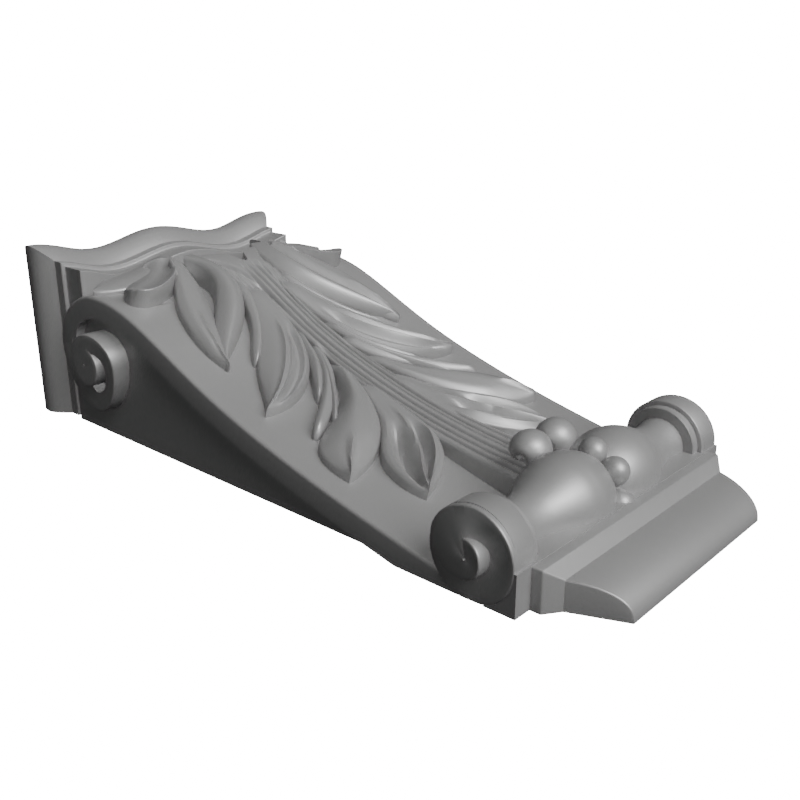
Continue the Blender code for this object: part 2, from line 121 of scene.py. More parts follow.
def loft(name, rings, carved=0):
    """Closed solid over rings with equal numbers of points, with a flat cap at each end.

    The first carved columns of faces are put in the second material slot, which marks them as
    finely carved until the edges have been made soft or sharp.
    """
    rings = np.array(rings, float)
    bands, count = rings.shape[:2]
    index = np.arange(bands * count).reshape(bands, count)
    ahead = np.roll(index, -1, axis=1)
    faces = np.stack([index[:-1], ahead[:-1], ahead[1:], index[1:]], axis=-1).reshape(-1, 4).tolist()
    faces += [index[0].tolist(), index[-1][::-1].tolist()]
    mesh = bpy.data.meshes.new(name)
    mesh.from_pydata(rings.reshape(-1, 3).tolist(), [], faces)
    mesh.materials.append(None)
    mesh.materials.append(None)
    slots = (np.arange(len(faces)) % count < carved).astype(np.int32)
    slots[-2:] = 0
    mesh.polygons.foreach_set("material_index", slots)
    work = bmesh.new()
    work.from_mesh(mesh)
    bmesh.ops.remove_doubles(work, verts=work.verts, dist=WELD)
    bmesh.ops.triangulate(work, faces=[f for f in work.faces if len(f.verts) > 4])
    bmesh.ops.recalc_face_normals(work, faces=work.faces)
    work.to_mesh(mesh)
    work.free()
    made = bpy.data.objects.new(name, mesh)
    bpy.context.scene.collection.objects.link(made)
    return made


def slab(name, outline, half):
    """A plate across the bracket, cut to an outline of (drop, out)."""
    return loft(name, [[place(drop, side * half, out) for drop, out in outline] for side in (-1, 1)])


# The face sinks a little where the crown covers it, so that it stays inside the frieze
covered = np.linspace(0.0, COVERED_END, COVERED_ROWS)
runs = np.concatenate([covered, np.linspace(SEEN_START, front_length, SEEN_ROWS)])
edge_in, edge_sunk = np.array(STRAP_EDGE).T
across = np.concatenate([edge_in - SCROLL_HALF, SCROLL_HALF - edge_in[::-1]])
sunk = np.concatenate([edge_sunk, edge_sunk[::-1]])
top_sink = TOP_SINK * smooth((TOP_SINK_LENGTH - runs) / TOP_SINK_LENGTH)
skin = on_front(runs[:, None], across[None, :], -top_sink[:, None] - sunk[None, :])
under = on_front(runs[:, None], np.array([SCROLL_HALF, -SCROLL_HALF])[None, :], -STRAP_DEPTH)
strap = loft("strap", np.concatenate([skin, under], axis=1))

core_outline = [(0.0, -BURIED), (0.0, CORE_TOP_OUT)]
for run in np.linspace(CORE_START, 1.0, CORE_STEPS) * front_length:
    spot = on_front(run, 0.0, -STRAP_DEPTH / 2.0)
    core_outline.append((PANEL_TOP - spot[2] / MM, -spot[1] / MM))
core_outline.append((ROLL_DROP, -BURIED))
body = [strap, slab("core", core_outline, PANEL_HALF)]

# Acanthus leaf
# One leaf grows down the strap, carved in relief from the same block: a stem of ribs, and on each
# side seven lobes, three fingers, two strips and a blade.  The far side mirrors the near one.

# A lobe's midrib runs from root to tip, both as (run, across).  Its lean there is in degrees from
# straight down the strap, and a pull is how far it keeps that lean.  Outer and inner give its half
# width away from the stem and toward it: the most, how far along that is, the share of it at the
# root, and how full the end is.  The crest lies from -1 at the near edge to 1 at the far edge, and
# it and the heights are stops from root to tip.  A fold is (where it lies from root to tip, height,
# half width, start, end).
LOBES = {
    "side lobe": dict(
        root=(43.5, 30.0), root_lean=93, root_pull=12.0,
        tip=(45.5, 73.8), tip_lean=84, tip_pull=14.0,
        outer=(5.5, 0.40, 0.80, 0.80), inner=(12.0, 0.35, 0.95, 0.80), crest_at=(0.5, 0.5),
        far_edge=(12.4, 10.8, 8.8, 6.6, 2.4),
        crest=(12.6, 9.6, 7.0, 5.2, 2.4),
        near_edge=(9.0, 5.4, 3.4, 2.4, 1.4),
    ),
    "ear": dict(
        root=(48.1, 35.0), root_lean=33, root_pull=6.0,
        tip=(68.4, 67.4), tip_lean=62, tip_pull=6.4,
        outer=(12.0, 0.30, 0.80, 0.60), inner=(9.8, 0.50, 0.45, 0.59), crest_at=(0.1, 0.1),
        far_edge=(9.0, 4.4, 3.0, 3.4, 8.0),
        crest=(12.6, 7.6, 6.2, 6.6, 8.8),
        near_edge=(13.4, 12.6, 11.4, 10.4, 9.6),
    ),
    "outer lobe": dict(
        root=(52.5, 33.2), root_lean=21, root_pull=26.6,
        tip=(127.7, 56.6), tip_lean=3, tip_pull=22.5,
        outer=(7.3, 0.46, 0.27, 1.10), inner=(10.5, 0.25, 0.80, 0.62),
        crest_at=(0.0, -0.1, -0.1, -0.1, 0.0),
        far_edge=(10.0, 5.8, 4.2, 3.0, 2.2),
        crest=(12.8, 8.4, 7.0, 6.4, 3.8),
        near_edge=(5.0, 1.2, 1.0, 1.4, 1.6),
        folds=(((0.55, 0.5, 0.45), 0.8, 0.35, 0.1, 0.9), ((0.0, 0.0, 0.0), 1.0, 0.12, 0.45, 1.1)),
    ),
    "inner lobe": dict(
        root=(52.3, 24.9), root_lean=-25, root_pull=37.7,
        tip=(126.9, 57.4), tip_lean=26, tip_pull=26.3,
        outer=(6.9, 0.50, 0.42, 1.20), inner=(7.3, 0.45, 0.95, 1.20),
        crest_at=(0.3, 0.1, -0.1, -0.1, 0.0),
        far_edge=(12.4, 9.6, 5.8, 3.8, 2.4),
        crest=(13.4, 13.0, 11.0, 7.8, 3.8),
        near_edge=(12.4, 8.2, 3.6, 2.4, 1.6),
    ),
    "thin strip": dict(
        root=(64.0, 20.0), root_lean=5, root_pull=20.0,
        tip=(104.5, 38.0), tip_lean=42, tip_pull=10.0,
        outer=(1.6, 0.50, 0.60, 0.60), inner=(1.6, 0.50, 0.60, 0.60), crest_at=(0.0, 0.0),
        far_edge=(9.0, 7.0, 4.4, 2.0),
        crest=(10.6, 8.4, 5.8, 2.8),
        near_edge=(9.0, 7.0, 4.4, 2.0),
        blunt=0.3,
    ),
    "blade": dict(
        root=(54.5, 35.6), root_lean=25, root_pull=4.0,
        tip=(69.0, 40.6), tip_lean=5, tip_pull=4.0,
        outer=(1.6, 0.40, 0.80, 0.60), inner=(1.5, 0.40, 0.80, 0.60), crest_at=(0.0, 0.0),
        far_edge=(12.5, 9.5, 6.0, 2.0),
        crest=(13.6, 11.8, 9.0, 4.0),
        near_edge=(12.5, 9.5, 6.0, 2.0),
    ),
    "small finger": dict(
        root=(70.6, 12.3), root_lean=11, root_pull=31.0,
        tip=(129.8, 42.9), tip_lean=42, tip_pull=23.6,
        outer=(3.0, 0.80, 0.86, 0.50), inner=(2.4, 0.18, 0.57, 0.60), crest_at=(0.1, 0.1),
        far_edge=(8.0, 6.8, 5.4, 4.4, 4.2),
        crest=(9.5, 8.4, 7.2, 6.4, 6.0),
        near_edge=(8.0, 6.8, 5.4, 4.6, 4.2),
        blunt=0.1,
    ),
    "second lobe": dict(
        root=(71.2, 8.3), root_lean=6, root_pull=53.8,
        tip=(160.9, 63.0), tip_lean=70, tip_pull=28.8,
        outer=(13.6, 0.57, 0.31, 1.18), inner=(10.7, 0.50, 0.34, 0.90),
        crest_at=(0.0, 0.05, 0.1, 0.1, 0.0),
        far_edge=(8.0, 6.6, 4.6, 3.8, 2.4),
        crest=(9.0, 8.8, 9.2, 8.4, 4.6),
        near_edge=(8.4, 6.8, 4.8, 3.2, 2.2),
        folds=(
            ((0.0, 0.12, 0.14), 1.5, 0.09, 0.25, 1.1),
            ((-0.22, -0.14, -0.1), 1.1, 0.08, 0.30, 1.0),
            ((-0.52, -0.45, -0.4), -2.4, 0.20, 0.25, 0.95),
            ((-0.84, -0.78, -0.74), 1.4, 0.15, 0.25, 0.95),
        ),
    ),
    "upper finger": dict(
        root=(112.7, 8.9), root_lean=11, root_pull=31.8,
        tip=(164.1, 35.0), tip_lean=37, tip_pull=22.3,
        outer=(2.6, 0.50, 0.70, 0.50), inner=(2.4, 0.72, 0.71, 0.50), crest_at=(0.1, 0.1),
        far_edge=(5.6, 5.4, 5.4, 4.6),
        crest=(7.4, 7.8, 7.8, 6.4),
        near_edge=(5.6, 5.4, 5.4, 4.6),
        blunt=0.1,
    ),
    "lower finger": dict(
        root=(126.4, 9.8), root_lean=7, root_pull=25.9,
        tip=(184.4, 55.2), tip_lean=54, tip_pull=23.3,
        outer=(2.8, 0.85, 0.80, 0.36), inner=(3.9, 0.35, 0.70, 0.36), crest_at=(0.2, 0.1),
        far_edge=(5.6, 5.6, 5.6, 5.4),
        crest=(7.4, 8.0, 7.8, 7.2),
        near_edge=(5.6, 5.6, 5.4, 5.2),
        blunt=0.1,
    ),
    "third strip": dict(
        root=(132.0, 10.5), root_lean=14, root_pull=18.0,
        tip=(185.5, 45.8), tip_lean=45, tip_pull=16.0,
        outer=(1.7, 0.50, 0.70, 0.45), inner=(1.6, 0.50, 0.70, 0.45), crest_at=(0.0, 0.0),
        far_edge=(5.6, 5.8, 5.2, 4.2),
        crest=(7.2, 8.4, 8.0, 6.0),
        near_edge=(5.6, 5.8, 5.2, 4.2),
        blunt=0.3,
    ),
    "third lobe": dict(
        root=(140.0, 7.5), root_lean=14, root_pull=47.0,
        tip=(213.9, 64.1), tip_lean=38, tip_pull=30.5,
        outer=(13.1, 0.76, 0.17, 1.05), inner=(11.9, 0.64, 0.14, 0.75),
        crest_at=(0.1, 0.1, 0.1, 0.0, 0.0),
        far_edge=(5.6, 0.8, 1.6, 3.0, 2.4),
        crest=(6.6, 8.6, 10.4, 9.6, 5.0),
        near_edge=(6.0, 6.6, 5.4, 3.8, 2.2),
        folds=(((0.0, 0.0, 0.0), 1.6, 0.12, 0.70, 1.1), ((-0.72, -0.7), 0.8, 0.25, 0.1, 0.8)),
    ),
    "last lobe": dict(
        root=(154.4, 6.1), root_lean=9, root_pull=60.9,
        tip=(239.7, 46.3), tip_lean=27, tip_pull=21.6,
        outer=(14.4, 0.60, 0.27, 1.05), inner=(13.0, 0.47, 0.10, 0.95), crest_at=(0.0, 0.0),
        far_edge=(6.0, 6.4, 6.6, 5.4, 2.8),
        crest=(6.6, 7.4, 8.0, 7.4, 4.8),
        near_edge=(6.0, 6.0, 6.0, 4.8, 2.6),
        folds=(
            ((0.75, 0.8, 0.7), 1.0, 0.16, 0.2, 1.0),
            ((0.42, 0.42, 0.38), -5.6, 0.20, 0.32, 0.98),
            ((0.05, -0.05, 0.0), 1.6, 0.10, 0.2, 1.1),
            ((-0.3, -0.35, -0.32), -5.2, 0.18, 0.30, 0.92),
            ((-0.66, -0.66, -0.6), 2.2, 0.15, 0.30, 1.1),
        ),
    ),
}
LOBE_ROWS = 56
LOBE_COLUMNS = 22
LOBE_LAST_ROW = 0.998
ROW_CROWDING = 1.5
NUDGE = 0.002
FLANK_CURVE = 1.8
FOLD_FADE = 0.15
BLUNT_MOST = 0.97
MOUND_FOOT = 60.0
EMERGE_HEAD_START = 0.03
EMERGE_SHARE = 0.16
LIP = 1.0
LIP_STEPS = (0.0, 0.1, 0.32, 0.64)
FULL_LIP_WIDTH = 6.0
ROOTED = 3.0
THIN = 0.001


def mix(a, b, t):
    return a + (b - a) * t


def through(stops, spot):
    """Value at a spot on the smooth curve through stops of (spot, value)."""
    x = np.array([s[0] for s in stops], float)
    y = np.array([s[1] for s in stops], float)
    slope = np.gradient(y, x)
    spot = np.clip(spot, x[0], x[-1])
    k = np.clip(np.searchsorted(x, spot, side="right") - 1, 0, len(x) - 2)
    span = x[k + 1] - x[k]
    t = (spot - x[k]) / span
    rise = y[k] * (1 + 2 * t) * (1 - t) ** 2 + y[k + 1] * t * t * (3 - 2 * t)
    return rise + span * (slope[k] * t * (1 - t) ** 2 - slope[k + 1] * t * t * (1 - t))


def evenly(values, t):
    """Value at t, from 0 to 1, on the smooth curve through evenly spaced values."""
    return through([(k / (len(values) - 1), value) for k, value in enumerate(values)], t)


def pulled(spot, lean, pull):
    """The spot that lies a pull away from another along its lean."""
    return (spot[0] + pull * cos(radians(lean)), spot[1] + pull * sin(radians(lean)))


def half_width(t, most, belly, root, point):
    """Width of a lobe to one side of its midrib, from its root at t = 0 to its tip at 1."""
    swell = root + (1.0 - root) * smooth(t / belly)
    fall = np.clip((t - belly) / (1.0 - belly), 0.0, 1.0)
    return most * swell * (1.0 - fall * fall) ** point


def round_over(inward):
    """How far an edge rounded to a radius of 1 has dropped, at a spot inward from its side."""
    return 1.0 - np.sqrt(1.0 - (1.0 - np.clip(inward, 0.0, 1.0)) ** 2)


def lobe(
    name, side, root, root_lean, root_pull, tip, tip_lean, tip_pull,
    outer, inner, crest_at, far_edge, crest, near_edge, folds=(), blunt=0.02,
):
    """One lobe of the leaf, on one side of the middle, as a closed solid that stands on the strap."""
    midrib = (root, pulled(root, root_lean, root_pull), pulled(tip, tip_lean, -tip_pull), tip)
    rings = []
    for t in LOBE_LAST_ROW * (1.0 - (1.0 - np.linspace(0.0, 1.0, LOBE_ROWS)) ** ROW_CROWDING):
        behind, rib, ahead = bezier(midrib, np.array([t - NUDGE, t, t + NUDGE]))
        way = (ahead - behind) / np.hypot(*(ahead - behind))
        far, near = half_width(t, *outer), half_width(t, *inner)
        span = far + near
        soft = LIP * min(1.0, span / FULL_LIP_WIDTH)
        lip = soft * np.array(LIP_STEPS)
        from_far = np.concatenate([lip, np.linspace(soft, span - soft, LOBE_COLUMNS), span - lip[::-1]])
        offset = far - from_far
        u = np.where(offset > 0.0, offset / max(far, THIN), offset / max(near, THIN))
        top = evenly(crest_at, t)
        fall = np.where(u > top, (u - top) / (1.0 - top), (top - u) / (1.0 + top))
        edge = np.where(u > top, evenly(far_edge, t), evenly(near_edge, t))
        rise = mix(evenly(crest, t), edge, fall**FLANK_CURVE)
        for at, height, half, start, end in folds:
            fade = smooth((t - start) / FOLD_FADE) * smooth((end - t) / FOLD_FADE)
            rise = rise + height * fade * np.exp(-(((u - evenly(at, t)) / half) ** 2))
        if root[0] > MOUND_FOOT:
            rise = rise * smooth((t + EMERGE_HEAD_START) / EMERGE_SHARE)
        past = min(max(0.0, 1.0 - (1.0 - t) / blunt), BLUNT_MOST)
        rise = rise * (1.0 - past**2) ** 0.5
        rise = rise - soft * round_over(np.minimum(from_far, span - from_far) / soft)
        offset = np.concatenate([offset, [-near, far]])
        rise = np.concatenate([rise, [-ROOTED, -ROOTED]])
        rings.append(on_front(rib[0] - way[1] * offset, side * (rib[1] + way[0] * offset), rise))
    return loft(name, rings)


# The stem is a middle rib and a rib to each side.  At the top they grow out of a mound under the
# frieze, which has a notched top edge and flutes that fan from its corner into the stem.
STRAIGHT = ((0, 0.0), (300, 0.0))
MIDDLE_RIB = dict(
    middle=STRAIGHT,
    half=((30, 9.0), (90, 6.0), (150, 5.7), (200, 5.7), (290, 7.5)),
    rise=((30, 10.5), (90, 7.6), (150, 7.0), (200, 7.4), (235, 9.2), (260, 11.6), (290, 13.0)),
    start=60.0, end=284.0,
)
SIDE_RIB = dict(
    middle=((110, 5.8), (150, 7.6), (220, 9.4), (290, 10.8)),
    half=((110, 2.0), (180, 3.0), (220, 4.5), (290, 7.5)),
    rise=((110, 6.4), (180, 6.7), (210, 7.2), (235, 8.8), (260, 11.0), (290, 12.4)),
    start=80.0, end=284.0,
)
MOUND = dict(
    middle=STRAIGHT,
    half=((48, 29), (56, 26), (62, 22.5), (72, 20), (86, 16), (100, 12), (115, 9)),
    rise=((48, 12.8), (56, 12.8), (66, 12.0), (80, 10.2), (95, 8.4), (115, 6.6)),
    start=48.0, end=115.0, shoulder=3.0,
)
SHOULDER_CURVE = 2.5
WALL = 0.25
WALL_CURVE = 0.8
MOUND_BLEND = 1.5
STEM_LEAST = 4.0
TOP_NOTCHES = ((0, 67), (1.5, 66), (4.2, 60.5), (12, 55.2), (20, 52.4), (36, 51.2))
NOTCH_REACH = 22.0
STEM_TOP = 51.0
STEM_END = 283.0
STEM_EDGE = (
    (48, 28.4), (56, 25.4), (62, 21.9), (72, 19.4), (86, 15.4), (100, 11.4), (115, 8.8), (130, 8.8),
    (150, 9.8), (180, 11.2), (220, 13.5), (290, 18.0),
)
STEM_ROWS = 210
STEM_COLUMNS = 93
STEM_RIM = 0.05
RIM_STEPS = (0.0, 0.1, 0.25, 0.45, 0.7)
GROOVES = (
    ((64, 2.0), (120, 2.0), (200, 2.1), (260, 2.6), (284, 2.8)),
    ((66, 5.6), (110, 5.2), (150, 5.6), (200, 5.7), (240, 6.4), (284, 7.6)),
    ((130, 7.6), (170, 8.6), (210, 9.8), (250, 11.6), (284, 13.2)),
    ((62, 18.8), (74.5, 19.4), (81.9, 20.9), (86.6, 22), (94, 24.3), (101.4, 27.8), (107.8, 32.3)),
    ((67.1, 15.8), (74.5, 15.2), (86.6, 15), (99.5, 15.7), (112.5, 16.7), (120.8, 19.5), (126.4, 23.6)),
    (
        (88.9, 7.9), (99.5, 9.5), (113, 11.2), (126.4, 13.9), (140.3, 20), (153.7, 27.2), (160.6, 35),
        (165.2, 38),
    ),
)
GROOVE_DEPTH = 2.2
GROOVE_HALF = 0.75
GROOVE_FLOOR = 3.0
GROOVE_FADE_IN = 12.0
GROOVE_FADE_OUT = 10.0
GROOVE_OVERRUN = 4.0
FLUTE_START = (53.0, 34.0)
FLUTES_HIGH = ((50.0, 22.0), (58.0, 5.5), (112.0, 4.5))
FLUTES_LOW = ((55.0, 26.0), (62.0, 16.0), (92.0, 21.0))
FLUTE_SHARES = (0.0, 0.2, 0.4, 0.6, 0.8, 1.0)
FLUTE_DEPTH = 2.2
FLUTE_HALF = 1.0
FLUTE_REACH = 3.0 * FLUTE_HALF
FLUTE_FLOOR = 2.0
FLUTE_STEPS = 90
FLUTE_FADE_IN = 0.2
FLUTE_FADE_OUT = 0.15


def rib_rise(spots, middle, half, rise, start, end, shoulder=1.4):
    """A rounded rib along the strap, its middle, half width and rise run through stops along it."""
    run, across = spots.T
    u = (across - through(middle, run)) / through(half, run)
    rim = (1.0 - np.abs(u)) * through(half, run)
    height = through(rise, run) - shoulder * np.abs(u) ** SHOULDER_CURVE
    inside = (np.abs(u) < 1.0) & (run > start) & (run < end)
    return np.where(inside, height * smooth(rim / WALL) ** WALL_CURVE, 0.0)


def soft_max(a, b, soft=0.5):
    """The higher of two heights, with the crease between them eased."""
    h = np.maximum(soft - np.abs(a - b), 0.0) / soft
    return np.maximum(a, b) + h * h * soft * 0.25


def flute_rise(spots, points):
    """A flute along a curve, which fades at both ends."""
    t = np.linspace(0.0, 1.0, FLUTE_STEPS)
    line = bezier(points, t)
    low, high = line.min(axis=0) - FLUTE_REACH, line.max(axis=0) + FLUTE_REACH
    rise = np.zeros(len(spots))
    here = np.flatnonzero(np.all((spots > low) & (spots < high), axis=1))
    gap = ((spots[here][:, None, :] - line[None, :, :]) ** 2).sum(axis=2)
    k = np.argmin(gap, axis=1)
    fade = smooth(t[k] / FLUTE_FADE_IN) * smooth((1.0 - t[k]) / FLUTE_FADE_OUT)
    rise[here] = -FLUTE_DEPTH * fade * np.exp(-gap[np.arange(len(k)), k] / FLUTE_HALF**2)
    return rise


def groove_rise(spots, stops):
    """A groove that runs on down the strap through stops of (run, across)."""
    run, across = spots.T
    middle = through(stops, run)
    lean = through(stops, run + 0.5) - through(stops, run - 0.5)
    gap = (across - middle) / np.sqrt(1.0 + lean**2)
    fade = smooth((run - stops[0][0]) / GROOVE_FADE_IN)
    fade = fade * smooth((stops[-1][0] + GROOVE_OVERRUN - run) / GROOVE_FADE_OUT)
    return -GROOVE_DEPTH * fade * np.exp(-((gap / GROOVE_HALF) ** 2))


def stem_rise(spots):
    """Height of the mound and the stem at spots of (run, across)."""
    total = soft_max(rib_rise(spots, **MIDDLE_RIB), rib_rise(spots, **SIDE_RIB))
    total = np.maximum(soft_max(total, rib_rise(spots, **MOUND), MOUND_BLEND), STEM_LEAST)
    for q in FLUTE_SHARES:
        points = [FLUTE_START, *mix(np.array(FLUTES_LOW), np.array(FLUTES_HIGH), q)]
        total = total + np.where(total > FLUTE_FLOOR, flute_rise(spots, points), 0.0)
    for stops in GROOVES:
        total = total + np.where(total > GROOVE_FLOOR, groove_rise(spots, stops), 0.0)
    return total


rim = 1.0 - STEM_RIM * np.array(RIM_STEPS)
share = np.concatenate([-rim, np.linspace(STEM_RIM - 1.0, 1.0 - STEM_RIM, STEM_COLUMNS), rim[::-1]])
stem_rings = []
for row in np.linspace(STEM_TOP, STEM_END, STEM_ROWS):
    edge = through(STEM_EDGE, row)
    across = share * edge
    notch = through(TOP_NOTCHES, np.abs(across)) - STEM_TOP
    run = row + notch * np.exp((STEM_TOP - row) / NOTCH_REACH)
    rise = stem_rise(np.stack([run, np.abs(across)], axis=-1))
    rise = rise - LIP * round_over((1.0 - np.abs(share)) * edge / LIP)
    run = np.concatenate([run, [run[-1], run[0]]])
    across = np.concatenate([across, [edge, -edge]])
    rise = np.concatenate([rise, [-ROOTED, -ROOTED]])
    if row == STEM_TOP:
        stem_rings.append(on_front(run, across, np.full(len(rise), -ROOTED)))
    stem_rings.append(on_front(run, across, rise))
body.append(loft("stem", stem_rings, carved=len(share) - 1))
for name, sizes in LOBES.items():
    for side in (-1, 1):
        body.append(lobe(name, side, **sizes))

# Square end
# Below the strap the block is left square, and the roll is carved from the front of it.  Under each
# foot scroll its corner stands out to the full width, hollowed to follow the scroll.
SQUARE_START = 250.5
SQUARE_IN = 3.0
BODY_LENGTH = 278.0
PLATE_OUT = 17.2
FOOT_SCROLL = (258.6, 17.5)
CORNER_START = 264.0
CORNER_RADIUS = 18.35
CORNER_TURNS = (-72.0, -1.0)
CORNER_STEPS = 26
square_outline = (
    (SQUARE_START, -BURIED), (ROLL_DROP, PLATE_OUT), (BODY_LENGTH, PLATE_OUT), (BODY_LENGTH, -BURIED),
)
body.append(slab("square end", square_outline, SCROLL_HALF - SQUARE_IN))
corner_outline = [(CORNER_START, -BURIED)]
for angle in np.linspace(*CORNER_TURNS, CORNER_STEPS):
    turn = radians(angle)
    drop = FOOT_SCROLL[0] + CORNER_RADIUS * cos(turn)
    corner_outline.append((drop, FOOT_SCROLL[1] + CORNER_RADIUS * sin(turn)))
corner_outline += [(BODY_LENGTH, PLATE_OUT), (BODY_LENGTH, -BURIED)]
body.append(slab("square corner", corner_outline, SCROLL_HALF))

# Crown
# Frieze, fillet and ovolo along the top, which a shelf rests on.  Their waved front is carved from
# the same block of wood.
FRIEZE_FOOT = 9.0
FRIEZE_HALF = 67.4
FRIEZE_OUT = 76.0
WAVE_RISE = 3.2
WAVE_TROUGH = 39.5
WAVE_END_CREST = 74.0
WAVE_COLUMNS = 97
CROWN_SECTION = (
    (FRIEZE_FOOT, -0.4), (FRIEZE_FOOT - 0.4, 0.0), (-4.8, 0.0), (-5.0, 0.3), (-5.1, 1.5), (-5.5, 1.9),
    (-10.8, 2.0), (-11.0, 2.2), (-12.2, 3.4), (-13.6, 4.65), (-15.2, 5.9), (-17.0, 7.15), (-19.0, 8.2),
    (-21.0, 8.75), (-23.0, 8.9), (-25.0, 8.7), (-27.0, 8.2), (-28.6, 7.6), (CROWN_TOP, 7.0),
)
wave_across = (0.0, WAVE_TROUGH, 2.0 * WAVE_END_CREST - WAVE_TROUGH)
wave_turn = (0.0, pi, 3.0 * pi)
crown_rings = []
for drop, proud in CROWN_SECTION:
    half = FRIEZE_HALF + proud
    across = np.linspace(-half, half, WAVE_COLUMNS)
    swing = np.interp(np.abs(across), wave_across, wave_turn)
    waved = FRIEZE_OUT + proud + WAVE_RISE * np.cos(swing)
    ring = [place(drop, -half, -BURIED)]
    ring += [place(drop, a, out) for a, out in zip(across, waved)]
    ring.append(place(drop, half, -BURIED))
    crown_rings.append(ring)
body.append(loft("crown", crown_rings))

# Base
# Plate, chamfer and ogee foot under the roll, moulded from the same block of wood, with the sharp
# edges eased.
PLATE_HALF = 67.1
PLATE_END = 282.6
PLATE_SUNK = 0.2
PLATE_EDGE = ((-0.5, 0.0, PLATE_SUNK), (-0.1, 0.15, 0.35), (0.2, 0.5, 0.7))
OGEE_START = 287.2
OGEE_END = 308.9
OGEE_OUT = 12.4
OGEE_HALF = 60.3
OGEE_TIP_HALF = 50.8
OGEE_STEPS = 24
OGEE_BELLY = 2.1
OGEE_NOSE = 0.4
BASE_EASE = 0.7
base_stops = [(ROLL_DROP, PLATE_HALF, PLATE_OUT - PLATE_SUNK)]
for down, inward, sunk in PLATE_EDGE:
    base_stops.append((PLATE_END + down, PLATE_HALF - inward, PLATE_OUT - sunk))
for k in range(OGEE_STEPS + 1):
    t = sin(radians(90.0 * k / OGEE_STEPS))
    out = OGEE_OUT * (1.0 - t**OGEE_BELLY) ** OGEE_NOSE
    base_stops.append((mix(OGEE_START, OGEE_END, t), mix(OGEE_HALF, OGEE_TIP_HALF, t), out))
base_rings = []
for drop, half, out in base_stops:
    soft = min(BASE_EASE, out)
    ring = [(-half, -BURIED)]
    for side in (-1, 1):
        for angle in (0.0, 30.0, 60.0, 90.0)[::-side]:
            turn = radians(angle)
            ring.append((side * (half - soft * (1.0 - cos(turn))), out - soft * (1.0 - sin(turn))))
    ring.append((half, -BURIED))
    base_rings.append([place(drop, a, o) for a, o in ring])
body.append(loft("base", base_rings))

# Roll
# Twin bulbs, necks and discs of one roll across the foot, in half relief like turned work, with
# three beads between the bulbs and a rolled leaf end above each bulb, all carved in the wood.
BULB_ACROSS = 18.0
BULB_RADIUS = 18.9
BULB_HALF_LENGTH = 23.7
STEP_RADIUS = 16.4
STEP_INNER = 58.7
STEP_ARRIS = 0.4
NECK_STOPS = (
    (BULB_ACROSS, BULB_RADIUS), (24.0, 18.3), (30.0, 16.4), (36.0, 13.7), (42.0, 11.6), (48.0, 10.7),
    (STEP_INNER, 11.6),
)
DISC_RADIUS = 18.4
DISC_INNER = 62.6
DISC_ARRIS = ((0.0, 0.6), (0.2, 0.2), (0.6, 0.0))
DISC_IN = 2.2
DISC_SIDES = 96
ROLL_REACH = DISC_INNER + 4.0
ROLL_ROWS = 121
ROLL_OUT = 17.8
CURL_ACROSS = 9.0
CURL_PATH = ((250.0, 9.0), (246.4, 16.0), (243.6, 23.0))
CURL_CENTRE = (236.6, 28.6)
CURL_TURN = 5.2
CURL_TIP = ((231.5, 26.6), (232.4, 25.0))
CURL_THICK = ((0.0, 4.0), (0.3, 4.3), (0.6, 4.4), (0.85, 3.2), (1.0, 1.2))
CURL_WIDE = ((0.0, 6.4), (0.3, 8.2), (0.6, 8.9), (0.85, 7.6), (1.0, 4.0))
CURL_CUP = 1.6
CURL_ANGLES = range(0, 181, 15)
CURL_SIDES = 32
BEAD_RADIUS = 5.9
BEAD_CIRCLE = 15.0
BEAD_ANGLES = (5.0, 50.0, 103.0)
POLE_GAP = 0.01


def roll_radius(across):
    across = abs(across)
    if across > BULB_ACROSS:
        return through(NECK_STOPS, across)
    flat = (across - BULB_ACROSS) / BULB_HALF_LENGTH
    return BULB_RADIUS * (1.0 - flat * flat) ** 0.5


def lathe(name, stops, sides=72):
    """Turned solid on the roll's axis, through stops of (across, radius)."""
    turns = [2.0 * pi * k / sides for k in range(sides)]
    rings = []
    for across, radius in stops:
        circle = [(ROLL_DROP + radius * sin(a), ROLL_OUT + radius * cos(a)) for a in turns]
        rings.append([place(drop, across, out) for drop, out in circle])
    return loft(name, rings)


def rolled_tip(across):
    """The end of a leaf that curls over on itself, as one tongue of rounded section."""
    path = list(CURL_PATH)
    for angle in CURL_ANGLES:
        turn = radians(angle)
        path.append((CURL_CENTRE[0] + CURL_TURN * cos(turn), CURL_CENTRE[1] + CURL_TURN * sin(turn)))
    path = np.array(path + list(CURL_TIP))
    way = np.gradient(path, axis=0)
    way = way / np.hypot(way[:, 0], way[:, 1])[:, None]
    share = np.linspace(0.0, 1.0, len(path))
    thick = through(CURL_THICK, share)
    wide = through(CURL_WIDE, share)
    rings = []
    for spot, step, half_thick, half_wide in zip(path, way, thick, wide):
        ring = []
        for turn in np.linspace(0.0, 2.0 * pi, CURL_SIDES, endpoint=False):
            aside = half_wide * cos(turn)
            lift = half_thick * sin(turn) - CURL_CUP * (aside / half_wide) ** 2
            ring.append(place(spot[0] + lift * step[1], across + aside, spot[1] - lift * step[0]))
        rings.append(ring)
    return loft("curl", rings)


def ball(name, centre, radius, rows=20, around=28):
    """A round bead, its poles up and down the bracket."""
    rings = []
    for i in range(rows + 1):
        polar = pi * (POLE_GAP + (1.0 - 2.0 * POLE_GAP) * i / rows)
        ring = []
        for j in range(around):
            turn = 2.0 * pi * j / around
            across = centre[1] + radius * sin(polar) * cos(turn)
            out = centre[2] + radius * sin(polar) * sin(turn)
            ring.append(place(centre[0] + radius * cos(polar), across, out))
        rings.append(ring)
    return loft(name, rings)


